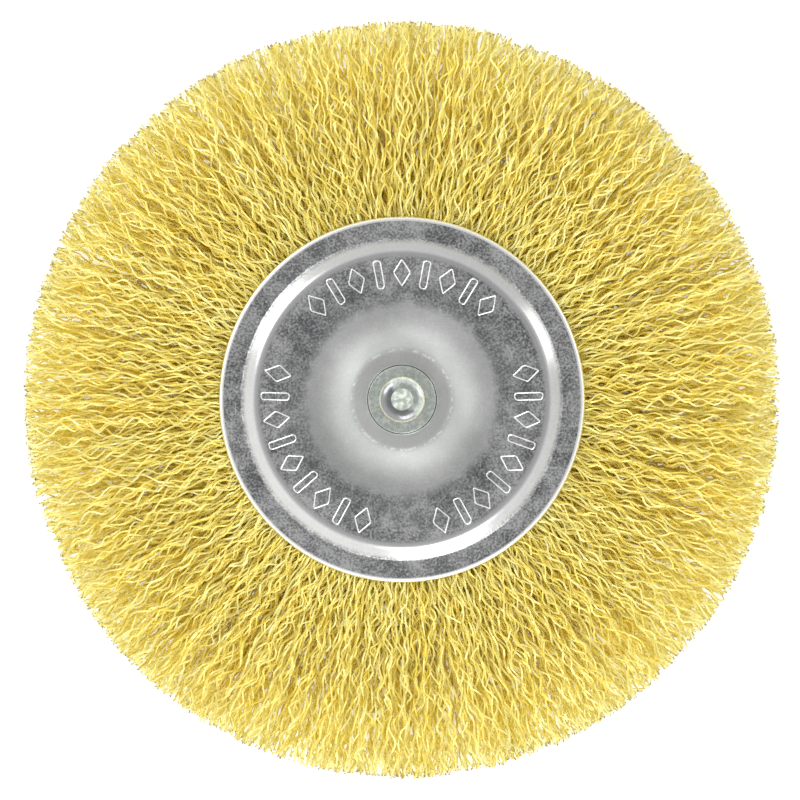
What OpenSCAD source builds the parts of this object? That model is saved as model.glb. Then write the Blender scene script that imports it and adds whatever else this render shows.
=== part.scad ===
// Crimped wire wheel brush with a plain round shank, for a hand drill.
// Two pressed steel plates clamp a ring of crimped wires. The wires are folded over a steel
// hoop that lies in the channel between the plates, and a spindle holds the plates together.
// Origin: centre of the rear plate's flat ring, on which the brush lies. +Z runs up the shank.

/* [Wire face] */
// Diameter over the trimmed wire tips
brush_d = 100; // [84:1:120]
// Width of the face at the tips
face_w = 13; // [10:0.25:13.5]
// Width of a strand, seen from the front
strand_w = 0.9; // [0.5:0.05:1]
// Thickness of a strand, along the axis
strand_t = 0.9; // [0.5:0.05:1]
// Length of one crimp, from bend to bend
crimp_pitch = 2.9; // [2.4:0.1:5]
// Height of the crimps, from peak to peak
crimp_h = 0.9; // [0.3:0.05:1]
// How far the strands lean sideways at their tips
lean = 0.8; // [0:0.1:0.8]
// How much shorter than the longest the shortest strand is
ragged = 1.4; // [0:0.1:3]

/* [Plates] */
// Diameter of the two plates
plate_d = 48; // [46:0.5:56]
// Thickness of the sheet
sheet_t = 1; // [0.8:0.05:1.2]
// Width of the flat rim that grips the wires
rim_w = 3.1; // [2.4:0.1:4]
// Gap between the two rims
rim_gap = 8.8; // [8:0.1:10]
// Height of the channel between the plates, over the hoop
channel_h = 12; // [11.6:0.1:13]
// Width of the slope between the rim and the channel
slope_w = 1.7; // [1.5:0.1:2.2]
// Width of the flat ring over the channel
flat_w = 6.3; // [5.6:0.1:7]
// Depth of the dish in the middle of each plate
dish_depth = 2.8; // [2.2:0.1:3.6]
// Diameter of the flat bottom of the dish
dish_d = 13.4; // [12.6:0.1:14]
// Where the dish's wall turns less steep, as a share of its width
waist_out = 0.39; // [0.34:0.01:0.46]
// How high that turn is, as a share of the dish's depth
waist_up = 0.5; // [0.46:0.01:0.54]
// Radius of the tight bends in the sheet, at its middle
tight_bend_r = 1; // [0.7:0.1:1.3]
// Radius of the soft bend from the flat ring into the dish, at the sheet's middle
soft_bend_r = 6; // [3:0.5:7]
// Radius of the wide bend half-way down the dish, at the sheet's middle
wide_bend_r = 12; // [6:1:13]

/* [Hoop and spacer] */
// Thickness of the round bar that the wires are folded over
hoop_t = 4; // [3:0.25:4.5]
// Open joint between the ends of the hoop
hoop_joint = 0.6; // [0.2:0.1:1.5]
// Wall of the tube that keeps the plates apart
spacer_wall = 2.6; // [1.5:0.1:3]

/* [Spindle] */
// Diameter of the shank
shank_d = 6; // [5:0.1:7]
// Length of the shank above its collar
shank_l = 30; // [20:1:45]
// Diameter of the collar that seats on the front plate
collar_d = 9.3; // [8.8:0.1:11]
// Height of the collar
collar_h = 4; // [2:0.25:8]
// Chamfer on the collar
collar_chamfer = 0.3; // [0.1:0.05:0.5]
// Length of the rounded nose at the shank's free end
nose_l = 1.4; // [0.8:0.1:2]
// Diameter of the flat left on the nose
nose_flat_d = 2.9; // [2:0.1:3.6]
// Diameter of the riveted head in the rear dish
head_d = 9.4; // [8.6:0.1:11]
// Height of the riveted head
head_h = 1.6; // [1:0.1:2]

/* [Hidden] */
bundles = 16;          // equal bundles round the hoop
strands = 6;           // strands side by side in a layer of a bundle
layers = 5;            // layers of strands in a bundle
wire_gap = 0.15;       // clearance of the wires from the plates, the hoop and each other
bore_clear = 0.05;     // radial clearance of the spindle in its holes
edge_round = 0.35;     // rounding of the plates' outer edge
arc_step = 12;         // most degrees between the points of an arc
arc_min = 4;           // fewest steps of an arc, however little it turns
straight = 0.5;        // degrees, a bend below this is left as a plain corner
bend_room = 0.45;      // most of the shorter side next to it that a bend may take up
$fn = 96;

pack_t = channel_h + 2 * sheet_t;
mid_z = pack_t / 2;
plate_r = plate_d / 2;
crease_r = plate_r - rim_w;
flat_outer_r = crease_r - slope_w;
flat_inner_r = flat_outer_r - flat_w;
dish_r = dish_d / 2;
waist_r = dish_r + waist_out * (flat_inner_r - dish_r);
seat_h = mid_z - dish_depth;
bore_r = shank_d / 2 + bore_clear;

hoop_r = (flat_outer_r + flat_inner_r) / 2;
fold_r = channel_h / 2 - wire_gap;
fold_inset = tight_bend_r / 2;
root_r = plate_r - rim_w / 2;
root_half = rim_gap / 2 - wire_gap;

tip_r = brush_d / 2;
bundle_angle = 360 / bundles;
strand_angle = bundle_angle / strands;
spacing_at_tip = strand_angle * PI / 180 * tip_r;
root_share = 0.2;      // part of a layer's sideways shift that it already has at the rims
tip_band = face_w / layers;
root_band = 2 * root_half / layers;
wander = max(0, (tip_band - strand_t - wire_gap) / 2);

function bundle_name(i) = str("wire_bundle_", i < 10 ? "0" : "", i);
function unit(v) = v / norm(v);
function left_of(v) = [-v.y, v.x];
function arc(centre, r, from, to) =
    let (steps = max(arc_min, ceil(abs(to - from) / arc_step)))
    [
        for (i = [0 : steps])
            let (a = from + (to - from) * i / steps)
            centre + r * [cos(a), sin(a)]
    ];

// One rounded corner of a bent sheet's middle line, moved sideways by off.
// Its radius is limited by the sides that it joins.
function bend(before, corner, after, bend_r, off) =
    let (
        back = unit(before - corner),
        on = unit(after - corner),
        half = acos(back * on) / 2,
        room = bend_room * min(norm(before - corner), norm(after - corner)),
        r = min(bend_r, room * tan(half)),
        turn = sign(cross(-back, on)),
        centre = corner + unit(back + on) * r / sin(half),
        start = -turn * left_of(-back),
        from = atan2(start.y, start.x),
        side_r = r - turn * off
    )
    180 - 2 * half < straight
        ? [corner + off * left_of(on)]
        : arc(centre, side_r, from, from + turn * (180 - 2 * half));

// The side of a bent sheet that lies off to the left of its middle line.
function sheet_side(path, radii, off) =
    let (last = len(path) - 1)
    concat(
        [path[0] + off * left_of(unit(path[1] - path[0]))],
        [for (i = [1 : last - 1]) each bend(path[i - 1], path[i], path[i + 1], radii[i], off)],
        [path[last] + off * left_of(unit(path[last] - path[last - 1]))]
    );

// Section of a plate: radius from the axis, height above the brush's middle plane.
module plate_section() {
    path = [
        [bore_r, seat_h - sheet_t / 2],
        [dish_r, seat_h - sheet_t / 2],
        [waist_r, seat_h + waist_up * dish_depth - sheet_t / 2],
        [flat_inner_r, mid_z - sheet_t / 2],
        [flat_outer_r, mid_z - sheet_t / 2],
        [crease_r, (rim_gap + sheet_t) / 2],
        [plate_r - edge_round, (rim_gap + sheet_t) / 2]
    ];
    radii = [0, tight_bend_r, wide_bend_r, soft_bend_r, tight_bend_r, tight_bend_r, 0];
    edge = [plate_r - edge_round, (rim_gap + sheet_t) / 2 + sheet_t / 2 - edge_round];
    polygon(concat(
        sheet_side(path, radii, -sheet_t / 2),
        [[plate_r, (rim_gap + sheet_t) / 2 - sheet_t / 2]],
        arc(edge, edge_round, 0, 90),
        reversed(sheet_side(path, radii, sheet_t / 2))
    ));
}

function reversed(list) = [for (i = [len(list) - 1 : -1 : 0]) list[i]];

module front_plate() {
    color([0.62, 0.63, 0.64])
        translate([0, 0, mid_z])
            rotate_extrude() plate_section();
}

module rear_plate() {
    color([0.6, 0.61, 0.62])
        translate([0, 0, mid_z])
            mirror([0, 0, 1])
                rotate_extrude() plate_section();
}

// One turned bar: riveted head, tail through the plates, collar, shank and rounded nose.
module spindle() {
    r = shank_d / 2;
    head_r = head_d / 2;
    collar_r = collar_d / 2;
    collar_z = pack_t - dish_depth;
    shank_z = collar_z + collar_h;
    top_z = shank_z + shank_l;
    flat_r = nose_flat_d / 2;
    nose_step = r - flat_r;
    head_flat = 0.55;  // share of the head's radius that is flat
    head_dome = 0.75;  // share of the head's height that its dome takes up
    head_z = dish_depth - head_h;
    color([0.72, 0.76, 0.7])
        rotate_extrude()
            polygon(concat(
                [[0, head_z]],
                [
                    for (a = [0 : 15 : 90])
                        [
                            head_r * (head_flat + (1 - head_flat) * sin(a)),
                            head_z + head_h * head_dome * (1 - cos(a))
                        ]
                ],
                [
                    [head_r, dish_depth],
                    [r, dish_depth],
                    [r, collar_z],
                    [collar_r, collar_z],
                    [collar_r, shank_z - collar_chamfer],
                    [collar_r - collar_chamfer, shank_z],
                    [r, shank_z],
                    [r, top_z - nose_l]
                ],
                [for (a = [15 : 15 : 90]) [flat_r + nose_step * cos(a), top_z - nose_l + nose_l * sin(a)]],
                [[0, top_z]]
            ));
}

module spacer_tube() {
    tube_h = 2 * (seat_h - sheet_t);
    color([0.5, 0.5, 0.52])
        translate([0, 0, mid_z - tube_h / 2])
            difference() {
                cylinder(r = bore_r + spacer_wall, h = tube_h);
                translate([0, 0, -1]) cylinder(r = bore_r, h = tube_h + 2);
            }
}

// Hoop of round bar with butted ends.
module core_hoop() {
    joint_angle = hoop_joint / hoop_r * 180 / PI;
    color([0.45, 0.45, 0.47])
        translate([0, 0, mid_z])
            rotate([0, 0, joint_angle / 2])
                rotate_extrude(angle = 360 - joint_angle)
                    translate([hoop_r, 0]) circle(r = hoop_t / 2);
}

// Section of the packed roots, folded round the hoop and squeezed between the rims.
module fold_section() {
    difference() {
        polygon(concat(
            arc([hoop_r, 0], fold_r, 90, 270),
            [
                [flat_outer_r - fold_inset, -fold_r],
                [crease_r - fold_inset, -root_half],
                [root_r, -root_half],
                [root_r, root_half],
                [crease_r - fold_inset, root_half],
                [flat_outer_r - fold_inset, fold_r]
            ]
        ));
        translate([hoop_r, 0]) circle(r = hoop_t / 2 + wire_gap);
    }
}

// Sideways place of a strand's middle at radius r: its crimp, from side -1 to 1, and its lean.
// Both stay in the room that the strand has before it meets the next one.
function sideways(r, side, lean_at_tip) =
    let (
        room = max(0, r * strand_angle * PI / 180 - strand_w - wire_gap),
        crimp = min(crimp_h, room) / 2,
        share = (r - plate_r) / (tip_r - plate_r),
        drift = min(abs(lean_at_tip) * share * share, room / 2 - crimp)
    )
    side * crimp + sign(lean_at_tip) * drift;

function swung(p, swing) = p + [0, swing * max(0, p.x - plate_r) / (tip_r - plate_r)];

// A crimped strand along +X, from inside the roots to its trimmed tip.
// first is where its first bend lies past the plates' edge, and side is the side it bends to.
// swing moves the tip sideways, by the same amount for all the strands of a layer.
module strand(end_r, first, side, lean_at_tip, swing) {
    bends = floor((end_r - plate_r - first) / crimp_pitch);
    last_r = plate_r + first + bends * crimp_pitch;
    last_side = (bends % 2 == 0 ? side : -side);
    middle = concat(
        [[crease_r, 0], [plate_r, 0]],
        [
            for (i = [0 : bends])
                let (r = plate_r + first + i * crimp_pitch)
                [r, sideways(r, i % 2 == 0 ? side : -side, lean_at_tip)]
        ],
        [[end_r, sideways(end_r, last_side * (1 - 2 * (end_r - last_r) / crimp_pitch), lean_at_tip)]]
    );
    linear_extrude(height = strand_t, center = true)
        polygon(concat(
            [for (p = middle) swung(p, swing) + [0, strand_w / 2]],
            [for (p = reversed(middle)) swung(p, swing) - [0, strand_w / 2]]
        ));
}

// One of the equal bundles of crimped wires round the hoop.
// Opposite bundles are alike, so that the wheel is balanced.
module wire_bundle(i) {
    seed = i % (bundles / 2);
    count = strands * layers;
    leans = rands(-lean, lean, count, 100 + seed);
    cuts = rands(0, ragged, count, 200 + seed);
    firsts = rands(0.4 * crimp_pitch, 1.4 * crimp_pitch, count, 300 + seed);
    rises = rands(-wander, wander, count, 400 + seed);
    color([0.86, 0.7, 0.25])
        translate([0, 0, mid_z])
            rotate([0, 0, i * bundle_angle]) {
                rotate_extrude(angle = bundle_angle) fold_section();
                for (layer = [0 : layers - 1], k = [0 : strands - 1]) {
                    pick = layer * strands + k;
                    level = layer - (layers - 1) / 2;
                    rise = level * (tip_band - root_band) + rises[pick];
                    shift = ((layer * 2) % layers + 0.5) / layers - 0.5;
                    swing = shift * (1 - root_share) * spacing_at_tip;
                    side = pick % 2 == 0 ? 1 : -1;
                    rotate([0, 0, (k + 0.5 + shift * root_share) * strand_angle])
                        translate([plate_r, 0, level * root_band])
                            rotate([0, -atan2(rise, tip_r - plate_r), 0])
                                translate([-plate_r, 0, 0])
                                    strand(tip_r - cuts[pick], firsts[pick], side, leans[pick], swing);
                }
            }
}

front_plate();
rear_plate();
spindle();
spacer_tube();
core_hoop();
for (i = [1 : bundles])
    wire_bundle(i);
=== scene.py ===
import math
import random
import time

import bmesh
import bpy
from mathutils import Matrix, Vector, noise


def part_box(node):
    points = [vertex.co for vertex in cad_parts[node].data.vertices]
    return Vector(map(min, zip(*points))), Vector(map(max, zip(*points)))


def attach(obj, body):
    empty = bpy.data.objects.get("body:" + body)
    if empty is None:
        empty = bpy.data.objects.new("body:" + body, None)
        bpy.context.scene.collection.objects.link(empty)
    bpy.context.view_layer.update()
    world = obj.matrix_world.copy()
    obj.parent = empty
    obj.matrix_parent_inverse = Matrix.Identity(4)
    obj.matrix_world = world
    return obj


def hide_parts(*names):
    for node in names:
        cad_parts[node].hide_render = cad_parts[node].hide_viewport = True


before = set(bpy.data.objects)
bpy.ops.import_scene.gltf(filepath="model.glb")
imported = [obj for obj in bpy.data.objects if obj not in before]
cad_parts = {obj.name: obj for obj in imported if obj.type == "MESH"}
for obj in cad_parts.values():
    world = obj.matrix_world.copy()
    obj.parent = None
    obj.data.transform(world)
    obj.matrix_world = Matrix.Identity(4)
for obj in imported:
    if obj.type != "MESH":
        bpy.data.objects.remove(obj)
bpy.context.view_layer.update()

startTime = time.time()

# Places that the pieces share, all taken from the frame
_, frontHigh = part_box("front_plate")
rearLow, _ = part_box("rear_plate")
_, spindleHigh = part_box("spindle")
middleHeight = (frontHigh.z + rearLow.z) / 2
plateRadius = frontHigh.x
bundleNodes = sorted(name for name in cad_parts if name.startswith("wire_bundle"))
bundleAngle = math.tau / len(bundleNodes)


def report(*words):
    print(f"{time.time() - startTime:.1f} s", *words)


def direction(azimuth, elevation):
    azimuth, elevation = math.radians(azimuth), math.radians(elevation)
    return Vector((math.cos(azimuth) * math.cos(elevation), math.sin(azimuth) * math.cos(elevation),
                   math.sin(elevation)))


# Mesh helpers

def newPiece(name, mesh, material, node):
    piece = bpy.data.objects.new(name, mesh)
    bpy.context.scene.collection.objects.link(piece)
    mesh.materials.clear()
    mesh.materials.append(material)
    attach(piece, "root")
    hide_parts(node)
    return piece


def meshFrom(bm, name, sharpDegrees):
    mesh = bpy.data.meshes.new(name)
    bm.to_mesh(mesh)
    bm.free()
    mesh.shade_smooth()
    mesh.set_sharp_from_angle(angle=math.radians(sharpDegrees))
    report(name, len(mesh.polygons), "faces")
    return mesh


def polyline(bm, points):
    # points are (radius, height) pairs, drawn in the XZ plane
    verts = [bm.verts.new((radius, 0, height)) for radius, height in points]
    for first, second in zip(verts, verts[1:]):
        bm.edges.new((first, second))
    return verts


def roundCorner(bm, vert, offset, segments):
    bmesh.ops.bevel(bm, geom=[vert], offset=offset, offset_type="OFFSET", affect="VERTICES",
                    segments=segments, profile=0.5, material=-1)


def spinFull(bm, steps):
    bmesh.ops.spin(bm, geom=bm.verts[:] + bm.edges[:], cent=(0, 0, 0), axis=(0, 0, 1),
                   angle=math.tau, steps=steps, use_merge=True, use_duplicate=False)
    bmesh.ops.remove_doubles(bm, verts=bm.verts[:], dist=1e-7)
    bmesh.ops.recalc_face_normals(bm, faces=bm.faces[:])


# Material helpers

def connect(tree, socket, value):
    if isinstance(value, bpy.types.NodeSocket):
        tree.links.new(value, socket)
    elif socket.type == "RGBA":
        socket.default_value = (*value, 1)
    else:
        socket.default_value = value


def mathNode(tree, operation, *values):
    node = tree.nodes.new("ShaderNodeMath")
    node.operation = operation
    for socket, value in zip(node.inputs, values):
        connect(tree, socket, value)
    return node.outputs[0]


def noiseNode(tree, vector, scale, detail=3, roughness=0.5):
    node = tree.nodes.new("ShaderNodeTexNoise")
    settings = {"Vector": vector, "Scale": scale, "Detail": detail, "Roughness": roughness}
    for name, value in settings.items():
        connect(tree, node.inputs[name], value)
    return node.outputs["Fac"]


def rangeNode(tree, value, fromLow, fromHigh, toLow=0, toHigh=1):
    node = tree.nodes.new("ShaderNodeMapRange")
    node.interpolation_type = "SMOOTHSTEP"
    for socket, number in zip(node.inputs, (value, fromLow, fromHigh, toLow, toHigh)):
        connect(tree, socket, number)
    return node.outputs[0]


def bandNode(tree, value, riseFrom, riseTo, fallFrom, fallTo):
    # 1 between the two edges of a band, 0 outside
    rise = rangeNode(tree, value, riseFrom, riseTo)
    fall = rangeNode(tree, value, fallFrom, fallTo, 1, 0)
    return mathNode(tree, "MULTIPLY", rise, fall)


def blendNode(tree, share, first, second):
    kept = mathNode(tree, "MULTIPLY", first, 1 - share)
    added = mathNode(tree, "MULTIPLY", second, share)
    return mathNode(tree, "ADD", kept, added)


def mixColour(tree, factor, first, second):
    node = tree.nodes.new("ShaderNodeMix")
    node.data_type = "RGBA"
    for index, value in ((0, factor), (6, first), (7, second)):
        connect(tree, node.inputs[index], value)
    return node.outputs[2]


def stretched(tree, vector, scale, turn=0):
    node = tree.nodes.new("ShaderNodeMapping")
    node.inputs["Scale"].default_value = scale
    node.inputs["Rotation"].default_value = (0, 0, math.radians(turn))
    tree.links.new(vector, node.inputs["Vector"])
    return node.outputs[0]


def bumpNode(tree, height, strength, distance):
    node = tree.nodes.new("ShaderNodeBump")
    for name, value in {"Strength": strength, "Distance": distance, "Height": height}.items():
        connect(tree, node.inputs[name], value)
    return node.outputs[0]


def newGroup(name, inputs, outputs):
    tree = bpy.data.node_groups.new(name, "ShaderNodeTree")
    for label, kind in inputs:
        tree.interface.new_socket(name=label, in_out="INPUT", socket_type=kind)
    for label in outputs:
        tree.interface.new_socket(name=label, in_out="OUTPUT", socket_type="NodeSocketFloat")
    return tree, tree.nodes.new("NodeGroupInput"), tree.nodes.new("NodeGroupOutput")


def placeGroup(tree, group, values):
    node = tree.nodes.new("ShaderNodeGroup")
    node.node_tree = group
    for label, value in values.items():
        connect(tree, node.inputs[label], value)
    return node.outputs


def newMaterial(name):
    material = bpy.data.materials.new(name)
    material.use_nodes = True
    tree = material.node_tree
    coords = tree.nodes.new("ShaderNodeTexCoord").outputs["Object"]
    return material, tree, coords, tree.nodes["Principled BSDF"].inputs


# Effects that several materials share

grainLook = {
    "coarseNoise": (4, 0.65),  # detail and roughness
    "fineNoise": (2, 0.6),
    "fineShare": 0.6,
    "patchContrast": (0.38, 0.65),
    "speckContrast": (0.68, 0.78),
}


def platingGrainGroup():
    # cloudy patches, pin-point specks and the fine height that both leave in a plated surface
    look = grainLook
    inputs = (
        ("Vector", "NodeSocketVector"),
        ("Patch Scale", "NodeSocketFloat"),
        ("Speck Scale", "NodeSocketFloat"),
    )
    tree, start, end = newGroup("platingGrain", inputs, ("Patches", "Specks", "Height"))
    vector = start.outputs["Vector"]
    coarse = noiseNode(tree, vector, start.outputs["Patch Scale"], *look["coarseNoise"])
    fine = noiseNode(tree, vector, start.outputs["Speck Scale"], *look["fineNoise"])
    both = blendNode(tree, look["fineShare"], coarse, fine)
    tree.links.new(rangeNode(tree, both, *look["patchContrast"]), end.inputs["Patches"])
    tree.links.new(rangeNode(tree, fine, *look["speckContrast"]), end.inputs["Specks"])
    tree.links.new(both, end.inputs["Height"])
    return tree


def axisDistanceGroup():
    # distance from the brush's own axis, which the pressing and the turning went round
    tree, start, end = newGroup("axisDistance", (("Vector", "NodeSocketVector"),), ("Radius", "Height"))
    separate = tree.nodes.new("ShaderNodeSeparateXYZ")
    tree.links.new(start.outputs["Vector"], separate.inputs[0])
    squareX = mathNode(tree, "MULTIPLY", separate.outputs["X"], separate.outputs["X"])
    squareY = mathNode(tree, "MULTIPLY", separate.outputs["Y"], separate.outputs["Y"])
    tree.links.new(mathNode(tree, "SQRT", mathNode(tree, "ADD", squareX, squareY)), end.inputs["Radius"])
    tree.links.new(separate.outputs["Z"], end.inputs["Height"])
    return tree


# Zinc-plated sheet: mottled where it stayed flat, polished at the bend, satin where the dish was drawn,
# with a painted reflection in the dish and painted highlights on its lines and edges

zincLook = {
    "patchScale": 520,
    "speckScale": 3300,
    "bump": 0.35,
    "bumpDepth": 0.00004,
    # flat parts
    "dark": (0.14, 0.142, 0.147),
    "pale": (0.56, 0.562, 0.565),
    "speck": (0.72, 0.72, 0.72),
    "flatRoughness": (0.27, 0.36),
    "cloudScale": 130,
    "cloudShare": 0.3,
    "cloudContrast": (0.35, 0.65),
    "paleNearBend": (0.0145, 0.0188),  # radii, as in all the pairs below that fade something
    "paleShare": 0.25,
    "scratches": (((260, 7000, 1), 12), ((6500, 300, 1), -8)),  # stretch and turn
    "scratchShare": (0.735, 0.76),
    # dish, with a painted reflection: white at its foot, fading to dark grey toward its edge
    "satinSeat": (0.63, 0.63, 0.62),
    "dishFootReflection": (1.0, 1.0, 1.0),
    "dishEdgeReflection": (0.43, 0.43, 0.43),
    "satinRoughness": 0.55,
    "mottleInDish": 0.2,
    "seatEdge": (0.0060, 0.0072),
    "reflectionFade": (0.0068, 0.0118),
    "dishEdge": (0.0118, 0.0136),
    # polished bend
    "satinBend": (0.57, 0.57, 0.57),
    "polishRoughness": 0.20,
    "mottleAtBend": 0.1,
    "polishFrom": (0.0184, 0.0190),
    "polishTo": (0.0204, 0.0212),
    # painted highlights on the embossed lines, the rim's edge and a ring round the dish's seat
    "highlightColour": (0.95, 0.95, 0.94),
    "rimHighlightBand": (0.02335, 0.02350),
    "lineFoot": (0.00001, 0.00003),  # height over the plate's front
    "lineShare": 0.6,
    "seatHighlightFrom": (0.0063, 0.0066),
    "seatHighlightTo": (0.0066, 0.0069),
    "seatHighlightScale": 1900,
    "seatHighlightShare": (0.5, 0.62),
}


def zincMaterial(grain, axis):
    material, tree, coords, shader = newMaterial("zincSheet")
    look = zincLook
    plating = placeGroup(tree, grain, {"Vector": coords, "Patch Scale": look["patchScale"],
                                       "Speck Scale": look["speckScale"]})
    place = placeGroup(tree, axis, {"Vector": coords})
    radius = place["Radius"]
    drawn = rangeNode(tree, radius, *look["dishEdge"], 1, 0)
    polished = bandNode(tree, radius, *look["polishFrom"], *look["polishTo"])

    # flat parts: cloudy, mottled and scratched, and paler toward the bend
    cloud = rangeNode(tree, noiseNode(tree, coords, look["cloudScale"], 2), *look["cloudContrast"])
    patches = blendNode(tree, look["cloudShare"], plating["Patches"], cloud)
    nearBend = rangeNode(tree, radius, *look["paleNearBend"])
    nearBend = mathNode(tree, "MULTIPLY", nearBend, look["paleShare"])
    patches = mathNode(tree, "ADD", patches, mathNode(tree, "MULTIPLY", nearBend, plating["Patches"]))
    flatColour = mixColour(tree, patches, look["dark"], look["pale"])
    flatColour = mixColour(tree, plating["Specks"], flatColour, look["speck"])
    scratches = []
    for scale, turn in look["scratches"]:
        streaks = noiseNode(tree, stretched(tree, coords, scale, turn), 1, 1)
        scratches.append(rangeNode(tree, streaks, *look["scratchShare"]))
    flatColour = mixColour(tree, mathNode(tree, "MAXIMUM", *scratches), flatColour, look["speck"])

    # satin dish with its seat, a painted reflection that is brightest at the dish's foot and darker toward
    # its edge, and the polished bend
    foot = rangeNode(tree, radius, *look["reflectionFade"])
    satinAndReflection = mixColour(tree, foot, look["dishFootReflection"], look["dishEdgeReflection"])
    satinAndReflection = mixColour(tree, rangeNode(tree, radius, *look["seatEdge"]), look["satinSeat"], satinAndReflection)
    satinAndReflection = mixColour(tree, polished, satinAndReflection, look["satinBend"])
    smooth = mathNode(tree, "MAXIMUM", mathNode(tree, "MULTIPLY", drawn, 1 - look["mottleInDish"]),
                      mathNode(tree, "MULTIPLY", polished, 1 - look["mottleAtBend"]))
    colour = mixColour(tree, smooth, flatColour, satinAndReflection)

    # painted highlights: near-white on the embossed lines, on the rounded rim edge, and as a broken ring
    # round the dish's seat
    overFront = mathNode(tree, "SUBTRACT", place["Height"], frontHigh.z)
    raised = mathNode(tree, "MULTIPLY", rangeNode(tree, overFront, *look["lineFoot"]), look["lineShare"])
    edge = rangeNode(tree, radius, *look["rimHighlightBand"])
    seatHighlight = bandNode(tree, radius, *look["seatHighlightFrom"], *look["seatHighlightTo"])
    broken = rangeNode(tree, noiseNode(tree, coords, look["seatHighlightScale"], 1), *look["seatHighlightShare"])
    seatHighlight = mathNode(tree, "MULTIPLY", seatHighlight, broken)
    bright = mathNode(tree, "MAXIMUM", raised, mathNode(tree, "MAXIMUM", edge, seatHighlight))
    tree.links.new(mixColour(tree, bright, colour, look["highlightColour"]), shader["Base Color"])

    shader["Metallic"].default_value = 1
    roughness = rangeNode(tree, plating["Patches"], 0, 1, *look["flatRoughness"])
    for mask, level in ((drawn, look["satinRoughness"]), (polished, look["polishRoughness"])):
        kept = mathNode(tree, "MULTIPLY", roughness, mathNode(tree, "SUBTRACT", 1, mask))
        roughness = mathNode(tree, "ADD", kept, mathNode(tree, "MULTIPLY", mask, level))
    tree.links.new(roughness, shader["Roughness"])
    relief = mathNode(tree, "MULTIPLY", plating["Height"], mathNode(tree, "SUBTRACT", 1, polished))
    tree.links.new(bumpNode(tree, relief, look["bump"], look["bumpDepth"]), shader["Normal"])
    return material


# Turned bar under a thin, greenish zinc coat, with a rough sawn end and painted shade on one side of its
# nose

spindleLook = {
    "dark": (0.50, 0.54, 0.50),
    "pale": (0.70, 0.74, 0.70),
    "roughness": (0.20, 0.34),
    "patchScale": 700,
    "speckScale": 2200,
    "turningMarks": 9000,
    "markShare": 0.4,
    "bump": 0.35,
    "bumpDepth": 0.00003,
    # sawn end: its depth under the top and its radius
    "sawnDark": (0.42, 0.46, 0.41),
    "sawnPale": (0.80, 0.86, 0.78),
    "sawnRoughness": 0.7,
    "sawnMetallic": 0.35,
    "sawnGrain": 1500,
    "sawnShare": (0.38, 0.6),
    "sawnDepth": (0.0003, 0.0006),
    "sawnRim": (0.00132, 0.00146),
    # painted shade on one side of the nose
    "shade": (0.24, 0.25, 0.25),
    "shadeSide": 222,
    "shadeFrom": (0.0002, 0.0012),
    "shadeRagged": 0.0016,
    "shadeScale": 1400,
    "noseDepth": (0.00096, 0.0012),
    "noseRim": (0.00272, 0.00284),
    # near-black band on the collar's chamfer, measured inward from the collar's edge
    "chamferBand": (0.10, 0.11, 0.10),
    "chamferFrom": (0.00004, 0.00008),
    "chamferTo": (0.00022, 0.00026),
}


def spindleMaterial(grain, axis):
    material, tree, coords, shader = newMaterial("turnedZinc")
    look = spindleLook
    plating = placeGroup(tree, grain, {"Vector": coords, "Patch Scale": look["patchScale"],
                                       "Speck Scale": look["speckScale"]})
    place = placeGroup(tree, axis, {"Vector": coords})
    radius, height = place["Radius"], place["Height"]
    underTop = mathNode(tree, "SUBTRACT", spindleHigh.z, height)
    colour = mixColour(tree, plating["Patches"], look["dark"], look["pale"])

    # painted shade: one side of the nose is darkened, with a ragged border
    side = tree.nodes.new("ShaderNodeVectorMath")
    side.operation = "DOT_PRODUCT"
    tree.links.new(coords, side.inputs[0])
    side.inputs[1].default_value = direction(look["shadeSide"], 0)
    ragged = mathNode(tree, "MULTIPLY", noiseNode(tree, coords, look["shadeScale"], 2), look["shadeRagged"])
    ragged = mathNode(tree, "ADD", side.outputs["Value"], ragged)
    shadedSide = rangeNode(tree, ragged, *look["shadeFrom"])
    nose = mathNode(tree, "MULTIPLY", rangeNode(tree, underTop, *look["noseDepth"], 1, 0),
                    rangeNode(tree, radius, *look["noseRim"], 1, 0))
    colour = mixColour(tree, mathNode(tree, "MULTIPLY", nose, shadedSide), colour, look["shade"])

    # the collar's chamfer is coloured near-black
    fromEdge = mathNode(tree, "SUBTRACT", spindleShape["collarRadius"], radius)
    chamfer = bandNode(tree, fromEdge, *look["chamferFrom"], *look["chamferTo"])
    colour = mixColour(tree, chamfer, colour, look["chamferBand"])

    # torn grain of the sawn end
    sawn = mathNode(tree, "MULTIPLY", rangeNode(tree, underTop, *look["sawnDepth"], 1, 0),
                    rangeNode(tree, radius, *look["sawnRim"], 1, 0))
    torn = rangeNode(tree, noiseNode(tree, coords, look["sawnGrain"], 3, 0.6), *look["sawnShare"])
    torn = mixColour(tree, torn, look["sawnDark"], look["sawnPale"])
    tree.links.new(mixColour(tree, sawn, colour, torn), shader["Base Color"])
    tree.links.new(rangeNode(tree, sawn, 0, 1, 1, look["sawnMetallic"]), shader["Metallic"])
    roughness = rangeNode(tree, plating["Patches"], 0, 1, *look["roughness"])
    kept = mathNode(tree, "MULTIPLY", roughness, mathNode(tree, "SUBTRACT", 1, sawn))
    sawnPart = mathNode(tree, "MULTIPLY", sawn, look["sawnRoughness"])
    tree.links.new(mathNode(tree, "ADD", kept, sawnPart), shader["Roughness"])

    # rings that the turning tool left
    turned = tree.nodes.new("ShaderNodeCombineXYZ")
    tree.links.new(radius, turned.inputs["X"])
    tree.links.new(height, turned.inputs["Y"])
    marks = noiseNode(tree, turned.outputs[0], look["turningMarks"], 2)
    relief = mathNode(tree, "ADD", mathNode(tree, "MULTIPLY", marks, look["markShare"]), plating["Height"])
    tree.links.new(bumpNode(tree, relief, look["bump"], look["bumpDepth"]), shader["Normal"])
    return material


# Plain rolled steel of the pieces between the plates

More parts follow.
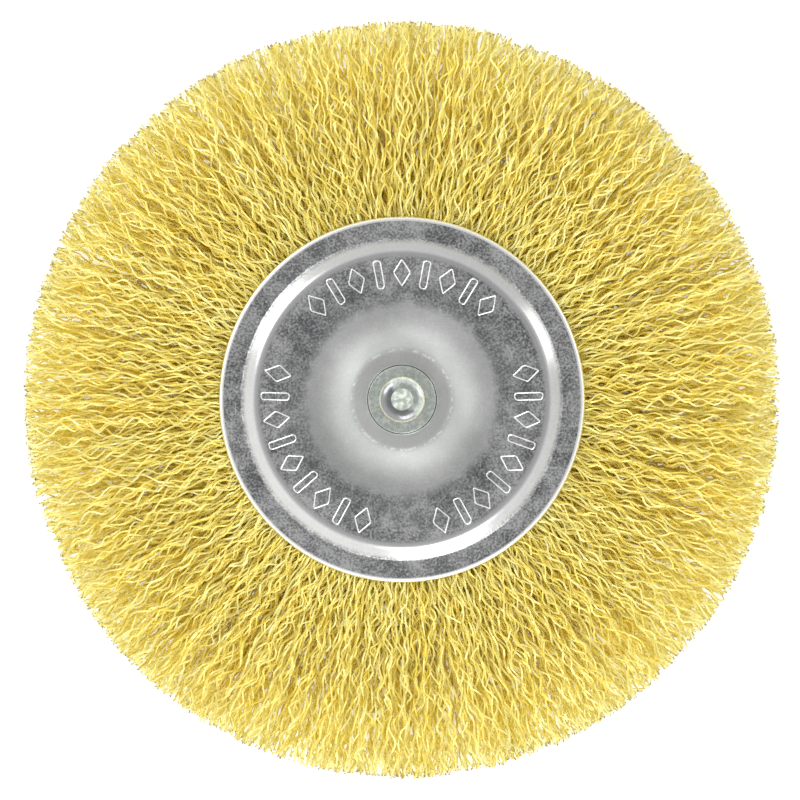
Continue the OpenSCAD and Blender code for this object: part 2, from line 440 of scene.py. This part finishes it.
innerSteelLook = {
    "dark": (0.32, 0.32, 0.33),
    "pale": (0.54, 0.54, 0.56),
    "patchScale": 400,
    "speckScale": 2600,
    "roughness": (0.3, 0.5),
    "bump": 0.3,
    "bumpDepth": 0.00004,
}


def innerSteelMaterial(grain):
    material, tree, coords, shader = newMaterial("innerSteel")
    look = innerSteelLook
    plating = placeGroup(tree, grain, {"Vector": coords, "Patch Scale": look["patchScale"],
                                       "Speck Scale": look["speckScale"]})
    tree.links.new(mixColour(tree, plating["Patches"], look["dark"], look["pale"]), shader["Base Color"])
    shader["Metallic"].default_value = 1
    tree.links.new(rangeNode(tree, plating["Patches"], 0, 1, *look["roughness"]), shader["Roughness"])
    tree.links.new(bumpNode(tree, plating["Height"], look["bump"], look["bumpDepth"]), shader["Normal"])
    return material


# Bright brass coat on drawn wire, bare steel at the cut end

brassLook = {
    "deep": (1.0, 0.83, 0.14),
    "bright": (1.0, 0.97, 0.46),
    "metallic": 0.15,
    "roughness": (0.26, 0.42),
    "patchScale": 420,
    "speckScale": 1500,
    "patchShare": 0.4,
    # shares of a wire's length, and of the wires whose end is bare
    "cutEnd": (0.42, 0.38, 0.27),
    "cutFrom": (0.990, 0.998),
    "cutShare": (0.50, 0.56),
    "wornFrom": (0.80, 1.0),
    "wornShare": 0.16,
}


def brassMaterial(grain):
    material, tree, coords, shader = newMaterial("brassWire")
    look = brassLook
    plating = placeGroup(tree, grain, {"Vector": coords, "Patch Scale": look["patchScale"],
                                       "Speck Scale": look["speckScale"]})
    readings = []
    for name in ("wireTone", "wireAlong"):
        node = tree.nodes.new("ShaderNodeAttribute")
        node.attribute_name = name
        readings.append(node.outputs["Fac"])
    tone, along = readings
    shade = blendNode(tree, look["patchShare"], tone, plating["Patches"])
    colour = mixColour(tree, shade, look["deep"], look["bright"])
    chosen = rangeNode(tree, tone, *look["cutShare"])
    cut = mathNode(tree, "MULTIPLY", rangeNode(tree, along, *look["cutFrom"]), chosen)
    worn = mathNode(tree, "MULTIPLY", rangeNode(tree, along, *look["wornFrom"]), look["wornShare"])
    bare = mathNode(tree, "MAXIMUM", cut, worn)
    tree.links.new(mixColour(tree, bare, colour, look["cutEnd"]), shader["Base Color"])
    shader["Metallic"].default_value = look["metallic"]
    tree.links.new(rangeNode(tree, plating["Patches"], 0, 1, *look["roughness"]), shader["Roughness"])
    return material


# The pressed plates

plateShape = {
    "sheet": 0.001,
    "rim": 0.0031,
    "slope": 0.0017,
    "ring": 0.0063,
    "dishRadius": 0.0067,
    "waistOut": 0.39,
    "waistUp": 0.5,
    "boreRadius": 0.00305,
    "tightBend": 0.001,
    "softBend": 0.006,
    "wideBend": 0.012,
    "edgeRound": 0.00055,
    "rimGap": 0.0088,
    "dishDepth": 0.0028,
    "tightSegments": 8,
    "softSegments": 12,
    "hiddenSegments": 3,
    "steps": 240,
    "rearSteps": 160,
}

markShape = {
    "groups": 3,
    "perGroup": 9,
    "groupAngle": 84,
    "middleRadius": 0.0166,
    "halfHeight": 0.00195,
    "lozengeHalf": 0.00125,
    "barHalf": 0.00058,
    "lozengeRound": 0.25,
    "barRound": 0.85,
    "roundSegments": 4,
    "lineWidth": 0.00024,
    "lineHeight": 0.00007,
    "foot": 0.00002,
}


def plateLine():
    # middle line of the sheet, as (radius, height above the brush's middle)
    shape = plateShape
    top = frontHigh.z - middleHeight - shape["sheet"] / 2
    seat = top - shape["dishDepth"]
    rim = (shape["rimGap"] + shape["sheet"]) / 2
    crease = plateRadius - shape["rim"]
    ringOuter = crease - shape["slope"]
    ringInner = ringOuter - shape["ring"]
    waist = shape["dishRadius"] + shape["waistOut"] * (ringInner - shape["dishRadius"])
    return [
        (shape["boreRadius"], seat),
        (shape["dishRadius"], seat),
        (waist, seat + shape["waistUp"] * shape["dishDepth"]),
        (ringInner, top),
        (ringOuter, top),
        (crease, rim),
        (plateRadius, rim),
    ]


def offsetLine(points, distance):
    # the same line moved sideways, its corners mitred
    moved = []
    for index, point in enumerate(points):
        here = Vector(point)
        back = (here - Vector(points[index - 1])).normalized() if index else None
        ahead = (Vector(points[index + 1]) - here).normalized() if index + 1 < len(points) else None
        along = ahead if back is None else back if ahead is None else (back + ahead).normalized()
        normal = Vector((-along.y, along.x))
        stretch = 1 if back is None or ahead is None else 1 / normal.dot(Vector((-back.y, back.x)))
        moved.append(tuple(here + normal * distance * stretch))
    return moved


def bendOffset(points, index, bendRadius):
    # how far before its corner a bend of that radius starts
    back = (Vector(points[index]) - Vector(points[index - 1])).normalized()
    ahead = (Vector(points[index + 1]) - Vector(points[index])).normalized()
    return bendRadius * math.tan(back.angle(ahead) / 2)


def addMark(bm, angle, isLozenge, height):
    # one plain embossed outline: a low ridge round a lozenge or a bar
    shape = markShape
    half = shape["lozengeHalf"] if isLozenge else shape["barHalf"]
    if isLozenge:
        outline = [(0, -shape["halfHeight"]), (half, 0), (0, shape["halfHeight"]), (-half, 0)]
    else:
        outline = [(-half, -shape["halfHeight"]), (half, -shape["halfHeight"]),
                   (half, shape["halfHeight"]), (-half, shape["halfHeight"])]
    mark = bmesh.new()
    mark.faces.new([mark.verts.new((x, y, 0)) for x, y in outline])
    rounding = shape["lozengeRound"] if isLozenge else shape["barRound"]
    bmesh.ops.bevel(mark, geom=mark.verts[:], offset=half * rounding, offset_type="OFFSET",
                    affect="VERTICES", segments=shape["roundSegments"], profile=0.5, material=-1)
    face = mark.faces[:][0]
    for lift in (shape["lineHeight"] + shape["foot"], 0):
        bmesh.ops.inset_individual(mark, faces=[face], thickness=shape["lineWidth"] / 2,
                                   use_even_offset=True)
        for vert in face.verts:
            vert.co.z = lift
    bmesh.ops.delete(mark, geom=[face], context="FACES_ONLY")
    bmesh.ops.bridge_loops(mark, edges=[edge for edge in mark.edges if edge.is_boundary])
    bmesh.ops.recalc_face_normals(mark, faces=mark.faces[:])
    place = Matrix.Rotation(angle - math.pi / 2, 4, "Z") @ Matrix.Translation(
        (0, shape["middleRadius"], height - shape["foot"]))
    bmesh.ops.transform(mark, matrix=place, verts=mark.verts[:])
    mesh = bpy.data.meshes.new("mark")
    mark.to_mesh(mesh)
    mark.free()
    bm.from_mesh(mesh)
    bpy.data.meshes.remove(mesh)


def addMarks(bm, height):
    shape = markShape
    for group in range(shape["groups"]):
        start = 90 + 360 / shape["groups"] * group - shape["groupAngle"] / 2
        for index in range(shape["perGroup"]):
            turn = start + shape["groupAngle"] * index / (shape["perGroup"] - 1)
            addMark(bm, math.radians(turn), index % 2 == 0, height)


def buildPlate(name, node, material, isFront):
    shape = plateShape
    half = shape["sheet"] / 2
    outer = offsetLine(plateLine(), half)
    inner = offsetLine(plateLine(), -half)
    bm = bmesh.new()
    outerVerts = polyline(bm, outer)
    innerVerts = polyline(bm, inner)
    bm.edges.new((outerVerts[0], innerVerts[0]))
    bm.edges.new((outerVerts[-1], innerVerts[-1]))
    # each bend: its corner, its radius, and whether it is hollow on the outer side
    bends = ((1, "tightBend", 1), (2, "wideBend", -1), (3, "softBend", -1), (4, "tightBend", -1),
             (5, "tightBend", 1))
    for index, bend, side in bends:
        segments = shape["tightSegments" if bend == "tightBend" else "softSegments"]
        outerOffset = bendOffset(outer, index, shape[bend] - side * half)
        innerOffset = bendOffset(inner, index, shape[bend] + side * half)
        roundCorner(bm, outerVerts[index], outerOffset, segments)
        roundCorner(bm, innerVerts[index], innerOffset, shape["hiddenSegments"])
    roundCorner(bm, outerVerts[-1], shape["edgeRound"], shape["tightSegments"])
    spinFull(bm, shape["steps"] if isFront else shape["rearSteps"])
    if isFront:
        addMarks(bm, outer[3][1])
    else:
        bmesh.ops.scale(bm, vec=(1, 1, -1), verts=bm.verts[:])
        bmesh.ops.recalc_face_normals(bm, faces=bm.faces[:])
    bmesh.ops.translate(bm, vec=(0, 0, middleHeight), verts=bm.verts[:])
    mesh = meshFrom(bm, name, sharpDegrees=50)
    return newPiece(name, mesh, material, node)


# The spindle: nose, shank, collar, tail and riveted head

spindleShape = {
    "shankRadius": 0.003,
    "collarRadius": 0.00465,
    "collarHeight": 0.004,
    "collarChamfer": 0.0003,
    "noseLength": 0.0014,
    "noseFlat": 0.00145,
    "headRadius": 0.0047,
    "headHeight": 0.0016,
    "headFlat": 0.55,
    "headDome": 0.75,
    "arcSteps": 12,
    "sawMarks": 0.00007,
    "sawScale": 1500,
    "sawFineScale": 5000,
    "steps": 128,
}


def spindleLine():
    shape = spindleShape
    top = spindleHigh.z
    seat = frontHigh.z - plateShape["dishDepth"]
    rearSeat = rearLow.z + plateShape["dishDepth"]
    collarTop = seat + shape["collarHeight"]
    low = rearSeat - shape["headHeight"]
    points = [(0, low), (shape["headRadius"] * shape["headFlat"], low)]
    for step in range(1, shape["arcSteps"] + 1):
        turn = math.pi / 2 * step / shape["arcSteps"]
        swell = shape["headFlat"] + (1 - shape["headFlat"]) * math.sin(turn)
        rise = shape["headHeight"] * shape["headDome"] * (1 - math.cos(turn))
        points.append((shape["headRadius"] * swell, low + rise))
    points += [
        (shape["headRadius"], rearSeat),
        (shape["shankRadius"], rearSeat),
        (shape["shankRadius"], seat),
        (shape["collarRadius"], seat),
        (shape["collarRadius"], collarTop - shape["collarChamfer"]),
        (shape["collarRadius"] - shape["collarChamfer"], collarTop),
        (shape["shankRadius"], collarTop),
    ]
    for step in range(shape["arcSteps"] + 1):
        turn = math.pi / 2 * step / shape["arcSteps"]
        points.append((shape["noseFlat"] + (shape["shankRadius"] - shape["noseFlat"]) * math.cos(turn),
                       top - shape["noseLength"] * (1 - math.sin(turn))))
    # rings across the sawn end
    return points + [(shape["noseFlat"] * share, top) for share in (0.8, 0.6, 0.4, 0.2, 0)]


def buildSpindle(material):
    shape = spindleShape
    bm = bmesh.new()
    polyline(bm, spindleLine())
    spinFull(bm, shape["steps"])
    for vert in bm.verts:
        if vert.co.z > spindleHigh.z - 1e-6:
            rough = noise.noise(vert.co * shape["sawScale"])
            rough += noise.noise(vert.co * shape["sawFineScale"]) / 2
            vert.co.z -= abs(rough) * shape["sawMarks"]
    mesh = meshFrom(bm, "spindle", sharpDegrees=35)
    return newPiece("turnedSpindle", mesh, material, "spindle")


# The crimped wires, in millimetres up to the last step

wireShape = {
    "wires": 270,  # in each bundle
    "bundleSeed": 7000,
    "radius": 0.126,
    "rootRadius": 21.6,
    "rootHalf": 4.25,
    "tipRadius": 49.72,
    "tipHalf": 6.3,
    "reach": 49.74,  # no wire's middle lies past this
    "ragged": 0.4,
    "flare": 0.35,  # the faces' slope, from the plates' edge outward
    "facePacking": 0.65,  # under 1, more wires lie near the two faces
    # crimps, which grow, shrink and drift along the wire
    "crimpPitch": 4.0,
    "crimp": 0.50,
    "crimpPlane": 1.57,
    "crimpSwell": 0.3,
    "swellPitch": 11,
    "crimpDrift": 0.5,
    "driftPitch": 13,
    # slow bends from side to side and between the faces
    "wanderPitch": 9,
    "wander": 0.3,
    "weavePitch": 5,
    "weave": 0.9,
    "pitchSpread": (0.82, 1.22),
    "swingSpread": (0.6, 1.3),
    "lean": 1.6,
    "leanPower": 1.3,
    # tufts, in which neighbouring tips pull together and are cut short
    "tuftSize": 4.2,
    "tuftLevels": 0.4,
    "tuftPull": 2.0,
    "pullPower": 1.8,
    "strayPull": 0.8,
    "strayScale": 2.7,
    "tuftTrim": 1.8,
    "trimScale": 1.3,
    # tips bent over by use
    "hook": 1.4,
    "hookFrom": 0.75,
    "hookShare": 0.22,
    # points in a wire: more for those that show on a face
    "fineSteps": 42,
    "coarseSteps": 18,
    "coarseLevel": 0.6,
}

# Packed roots: each wire is folded over the hoop
foldShape = {
    "hoopRadius": 16.05,
    "inner": 2.15,
    "outer": 5.85,
    "slopeTop": 18.7,
    "slopeFoot": 20.4,
    "slit": 0.05,
    "arcSteps": 14,
    "steps": 6,
}


def wirePath(rng, angle, level, steps):
    # points of one wire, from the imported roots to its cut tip
    shape = wireShape
    outward = Vector((math.cos(angle), math.sin(angle), 0))
    sideways = Vector((-outward.y, outward.x, 0))
    place = outward * shape["tipRadius"] / shape["tuftSize"] + Vector((0, 0, level * shape["tuftLevels"]))
    pull = noise.noise(place) * shape["tuftPull"]
    pull += noise.noise(place * shape["strayScale"]) * shape["strayPull"]
    elsewhere = Vector((7, 3, 5))
    trim = max(0, noise.noise(place * shape["trimScale"] + elsewhere)) * shape["tuftTrim"]
    tip = shape["tipRadius"] - trim - abs(rng.gauss(0, shape["ragged"]))
    pitch, wanderPitch, weavePitch = (shape[name] * rng.uniform(*shape["pitchSpread"])
                                      for name in ("crimpPitch", "wanderPitch", "weavePitch"))
    crimp, wander, weave = (shape[name] * rng.uniform(*shape["swingSpread"])
                            for name in ("crimp", "wander", "weave"))
    phases = [rng.uniform(0, math.tau) for _ in range(5)]
    plane = rng.uniform(-shape["crimpPlane"], shape["crimpPlane"])
    lean = rng.gauss(0, shape["lean"])
    hook = rng.gauss(0, shape["hook"]) if rng.random() < shape["hookShare"] else 0
    points = []
    for step in range(steps + 1):
        radius = shape["rootRadius"] + (tip - shape["rootRadius"]) * step / steps
        free = (radius - shape["rootRadius"]) / (shape["tipRadius"] - shape["rootRadius"])
        loose = min(1, 0.4 + free * 6)  # the plates hold the roots
        along = radius * math.tau
        swell = shape["crimpSwell"] * math.sin(along / shape["swellPitch"] + phases[0])
        drift = shape["crimpDrift"] * math.sin(along / shape["driftPitch"] + phases[1])
        swing = crimp * loose * (1 + swell) * math.sin(along / pitch + drift + phases[2])
        side = swing * math.cos(plane)
        side += lean * free ** shape["leanPower"] + pull * free ** shape["pullPower"]
        side += wander * min(1, free * 4) * math.sin(along / wanderPitch + phases[3])
        side += hook * (max(0, free - shape["hookFrom"]) / (1 - shape["hookFrom"])) ** 2
        half = shape["rootHalf"] + (shape["tipHalf"] - shape["rootHalf"]) * free
        dip = weave * min(1, free * 3)
        up = level * (half - dip) + dip * math.sin(along / weavePitch + phases[4])
        up += swing * math.sin(plane)
        opened = max(0, radius - plateRadius * 1000) * shape["flare"]
        limit = min(shape["rootHalf"] + opened, shape["tipHalf"])
        point = outward * radius + sideways * side + Vector((0, 0, max(-limit, min(limit, up))))
        stretch = min(1, shape["reach"] / math.hypot(point.x, point.y))
        point = Vector((point.x * stretch, point.y * stretch, point.z + middleHeight * 1000))
        points.append(point / 1000)
    return points


def wireProfile():
    # three-sided section that every wire is swept with
    bm = bmesh.new()
    bmesh.ops.create_circle(bm, segments=3, radius=wireShape["radius"] / 1000)
    curve = bpy.data.curves.new("wireProfile", "CURVE")
    curve.dimensions = "2D"
    spline = curve.splines.new("POLY")
    spline.points.add(len(bm.verts) - 1)
    spline.use_cyclic_u = True
    for point, vert in zip(spline.points, bm.verts):
        point.co = (*vert.co, 1)
    bm.free()
    profile = bpy.data.objects.new("wireProfile", curve)
    bpy.context.scene.collection.objects.link(profile)
    return profile


def foldSection():
    # section of the roots that are folded over the hoop, as (radius, height above the middle)
    shape = foldShape
    half, mouth = wireShape["rootHalf"], wireShape["rootRadius"]
    arc = [math.pi / 2 + math.pi * step / shape["arcSteps"] for step in range(shape["arcSteps"] + 1)]
    around = [(shape["hoopRadius"] + shape["outer"] * math.cos(turn), shape["outer"] * math.sin(turn))
              for turn in arc]
    below = [
        (shape["slopeTop"], -shape["outer"]),
        (shape["slopeFoot"], -half),
        (mouth, -half),
        (mouth, -shape["slit"]),
    ]
    slitAngle = math.asin(shape["slit"] / shape["inner"])
    sweep = math.tau - 2 * slitAngle
    hoop = []
    for step in range(2 * shape["arcSteps"] + 1):
        turn = -slitAngle - sweep * step / (2 * shape["arcSteps"])
        hoop.append((shape["hoopRadius"] + shape["inner"] * math.cos(turn),
                     shape["inner"] * math.sin(turn)))
    above = [(radius, -height) for radius, height in reversed(below)]
    line = around + below + hoop + above
    return [(radius / 1000, middleHeight + height / 1000) for radius, height in line]


def addFold(mesh, index):
    bm = bmesh.new()
    bm.from_mesh(mesh)
    wireFaces = set(bm.faces)
    verts = polyline(bm, foldSection())
    bm.edges.new((verts[-1], verts[0]))
    edges = list({edge for vert in verts for edge in vert.link_edges})
    bmesh.ops.rotate(bm, verts=verts, cent=(0, 0, 0), matrix=Matrix.Rotation(index * bundleAngle, 3, "Z"))
    bmesh.ops.spin(bm, geom=verts + edges, cent=(0, 0, 0), axis=(0, 0, 1), angle=bundleAngle,
                   steps=foldShape["steps"], use_merge=False, use_duplicate=False)
    bmesh.ops.holes_fill(bm, edges=[edge for edge in bm.edges if edge.is_boundary], sides=0)
    bmesh.ops.recalc_face_normals(bm, faces=[face for face in bm.faces if face not in wireFaces])
    bm.to_mesh(mesh)
    bm.free()


goldenShare = 0.6180339  # spreads the wires' levels evenly however many there are


def buildBundle(index, node, profile, material):
    shape = wireShape
    rng = random.Random(shape["bundleSeed"] + index)
    curve = bpy.data.curves.new("wires", "CURVE")
    curve.dimensions = "3D"
    curve.bevel_mode = "OBJECT"
    curve.bevel_object = profile
    curve.use_fill_caps = True
    tones, counts = [], []
    for wire in range(shape["wires"]):
        angle = (index + (wire + rng.random()) / shape["wires"]) * bundleAngle
        level = 2 * ((wire * goldenShare + 0.05 * rng.random()) % 1) - 1
        level = math.copysign(abs(level) ** shape["facePacking"], level)  # more wires near the faces
        steps = shape["fineSteps"] if abs(level) > shape["coarseLevel"] else shape["coarseSteps"]
        spline = curve.splines.new("POLY")
        spline.points.add(steps)
        path = wirePath(rng, angle, level, steps)
        spline.points.foreach_set("co", [number for point in path for number in (*point, 1)])
        spline.points.foreach_set("tilt", [rng.uniform(0, math.tau)] * (steps + 1))
        tones.append(rng.random())
        counts.append(steps + 1)
    holder = bpy.data.objects.new("wires", curve)
    bpy.context.scene.collection.objects.link(holder)
    mesh = bpy.data.meshes.new_from_object(holder.evaluated_get(bpy.context.evaluated_depsgraph_get()))
    bpy.data.objects.remove(holder)
    bpy.data.curves.remove(curve)
    # the caps come first in the swept mesh, last wire first, and then the rings of each wire
    tone = [value for value in reversed(tones) for _ in range(6)]
    along = [1, 1, 1, 0, 0, 0] * len(tones)
    for value, count in zip(tones, counts):
        tone += [value] * 3 * count
        along += [ring / (count - 1) for ring in range(count) for _ in range(3)]
    for name, values in (("wireTone", tone), ("wireAlong", along)):
        mesh.attributes.new(name, "FLOAT", "POINT").data.foreach_set("value", values)
    addFold(mesh, index)
    mesh.shade_flat()
    report(node, len(mesh.polygons), "faces")
    return newPiece(f"wires_{index + 1:02d}", mesh, material, node)


# Floor, world, lamps and camera

stageLook = {
    "pixelsPerMetre": 7640,
    "imageSize": 800,
    "distance": 1.5,
    "centrePixel": (402, 399.5),  # where the brush's axis falls in the image
    "sensor": 36,
    "floorColour": (0.85, 0.85, 0.85),
    "floorGlow": 0.45,
    "zenith": 0.62,
    "horizon": 1.2,
    "skyFrom": 0.90,
    "skyTo": 0.45,
    "brightSide": 235,
    "sideShare": 0.22,
}

lampLook = [
    {"name": "lowerSoftbox", "azimuth": 285, "elevation": 24, "size": 0.7, "power": 5},
    {"name": "upperLeftSoftbox", "azimuth": 145, "elevation": 24, "size": 0.6, "power": 4},
    {"name": "rightSoftbox", "azimuth": 25, "elevation": 14, "size": 0.4, "power": 0.8},
]
lampDistance = 1.1


def buildCamera():
    look = stageLook
    camera = bpy.data.cameras.new("camera")
    holder = bpy.data.objects.new("camera", camera)
    bpy.context.scene.collection.objects.link(holder)
    camera.sensor_width = look["sensor"]
    camera.lens = look["sensor"] * look["distance"] * look["pixelsPerMetre"] / look["imageSize"]
    camera.clip_end = 20
    half = look["imageSize"] / 2
    shiftX = (half - look["centrePixel"][0]) / look["pixelsPerMetre"]
    shiftY = (look["centrePixel"][1] - half) / look["pixelsPerMetre"]
    holder.location = (shiftX, shiftY, frontHigh.z + look["distance"])
    bpy.context.scene.camera = holder


def seenDirectly(tree):
    # 1 for what the camera sees, straight or through a reflection
    light = tree.nodes.new("ShaderNodeLightPath")
    straight = mathNode(tree, "MAXIMUM", light.outputs["Is Camera Ray"], light.outputs["Is Glossy Ray"])
    return mathNode(tree, "MAXIMUM", straight, light.outputs["Is Transmission Ray"])


def buildFloor():
    bm = bmesh.new()
    bmesh.ops.create_grid(bm, x_segments=1, y_segments=1, size=3)
    mesh = bpy.data.meshes.new("floor")
    bm.to_mesh(mesh)
    bm.free()
    floor = bpy.data.objects.new("floor", mesh)
    bpy.context.scene.collection.objects.link(floor)
    material, tree, coords, shader = newMaterial("paleFloor")
    connect(tree, shader["Base Color"], stageLook["floorColour"])
    shader["Roughness"].default_value = 0.9
    shader["Specular IOR Level"].default_value = 0
    connect(tree, shader["Emission Color"], (1, 1, 1))
    glow = mathNode(tree, "MULTIPLY", seenDirectly(tree), stageLook["floorGlow"])
    connect(tree, shader["Emission Strength"], glow)
    mesh.materials.append(material)


def buildWorld():
    # a dark patch overhead, as above any camera, and a pale room round it
    look = stageLook
    world = bpy.data.worlds.new("studio")
    bpy.context.scene.world = world
    world.use_nodes = True
    tree = world.node_tree
    way = tree.nodes.new("ShaderNodeTexCoord").outputs["Generated"]
    separate = tree.nodes.new("ShaderNodeSeparateXYZ")
    tree.links.new(way, separate.inputs[0])
    level = rangeNode(tree, separate.outputs["Z"], look["skyTo"], look["skyFrom"],
                      look["horizon"], look["zenith"])
    side = tree.nodes.new("ShaderNodeVectorMath")
    side.operation = "DOT_PRODUCT"
    tree.links.new(way, side.inputs[0])
    side.inputs[1].default_value = direction(look["brightSide"], 0)
    tilt = mathNode(tree, "ADD", mathNode(tree, "MULTIPLY", side.outputs["Value"], look["sideShare"]), 1)
    light = tree.nodes.new("ShaderNodeLightPath")
    strength = mathNode(tree, "MULTIPLY", level, tilt)
    strength = mathNode(tree, "MAXIMUM", strength, light.outputs["Is Camera Ray"])
    background = tree.nodes["Background"]
    connect(tree, background.inputs["Color"], (1, 1, 1))
    connect(tree, background.inputs["Strength"], strength)


def buildLamps():
    for lamp in lampLook:
        light = bpy.data.lights.new(lamp["name"], "AREA")
        light.shape = "SQUARE"
        light.size = lamp["size"]
        light.energy = lamp["power"]
        holder = bpy.data.objects.new(lamp["name"], light)
        bpy.context.scene.collection.objects.link(holder)
        outward = direction(lamp["azimuth"], lamp["elevation"])
        holder.location = outward * lampDistance
        holder.rotation_euler = outward.to_track_quat("Z", "Y").to_euler()


# Build

bpy.context.scene.view_settings.view_transform = "Standard"
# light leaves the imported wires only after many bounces
bpy.context.scene.cycles.max_bounces = 10
bpy.context.scene.cycles.diffuse_bounces = 8
bpy.context.scene.cycles.glossy_bounces = 4
buildCamera()
buildFloor()
buildWorld()
buildLamps()
report("stage is ready")

grain = platingGrainGroup()
axis = axisDistanceGroup()
zinc = zincMaterial(grain, axis)
buildPlate("frontPlate", "front_plate", zinc, True)
buildPlate("rearPlate", "rear_plate", zinc, False)
buildSpindle(spindleMaterial(grain, axis))

innerSteel = innerSteelMaterial(grain)
for node in ("core_hoop", "spacer_tube"):
    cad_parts[node].data.materials.clear()
    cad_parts[node].data.materials.append(innerSteel)

brass = brassMaterial(grain)
profile = wireProfile()
for index, node in enumerate(bundleNodes):
    buildBundle(index, node, profile, brass)
bpy.data.objects.remove(profile)
report("wires are ready")
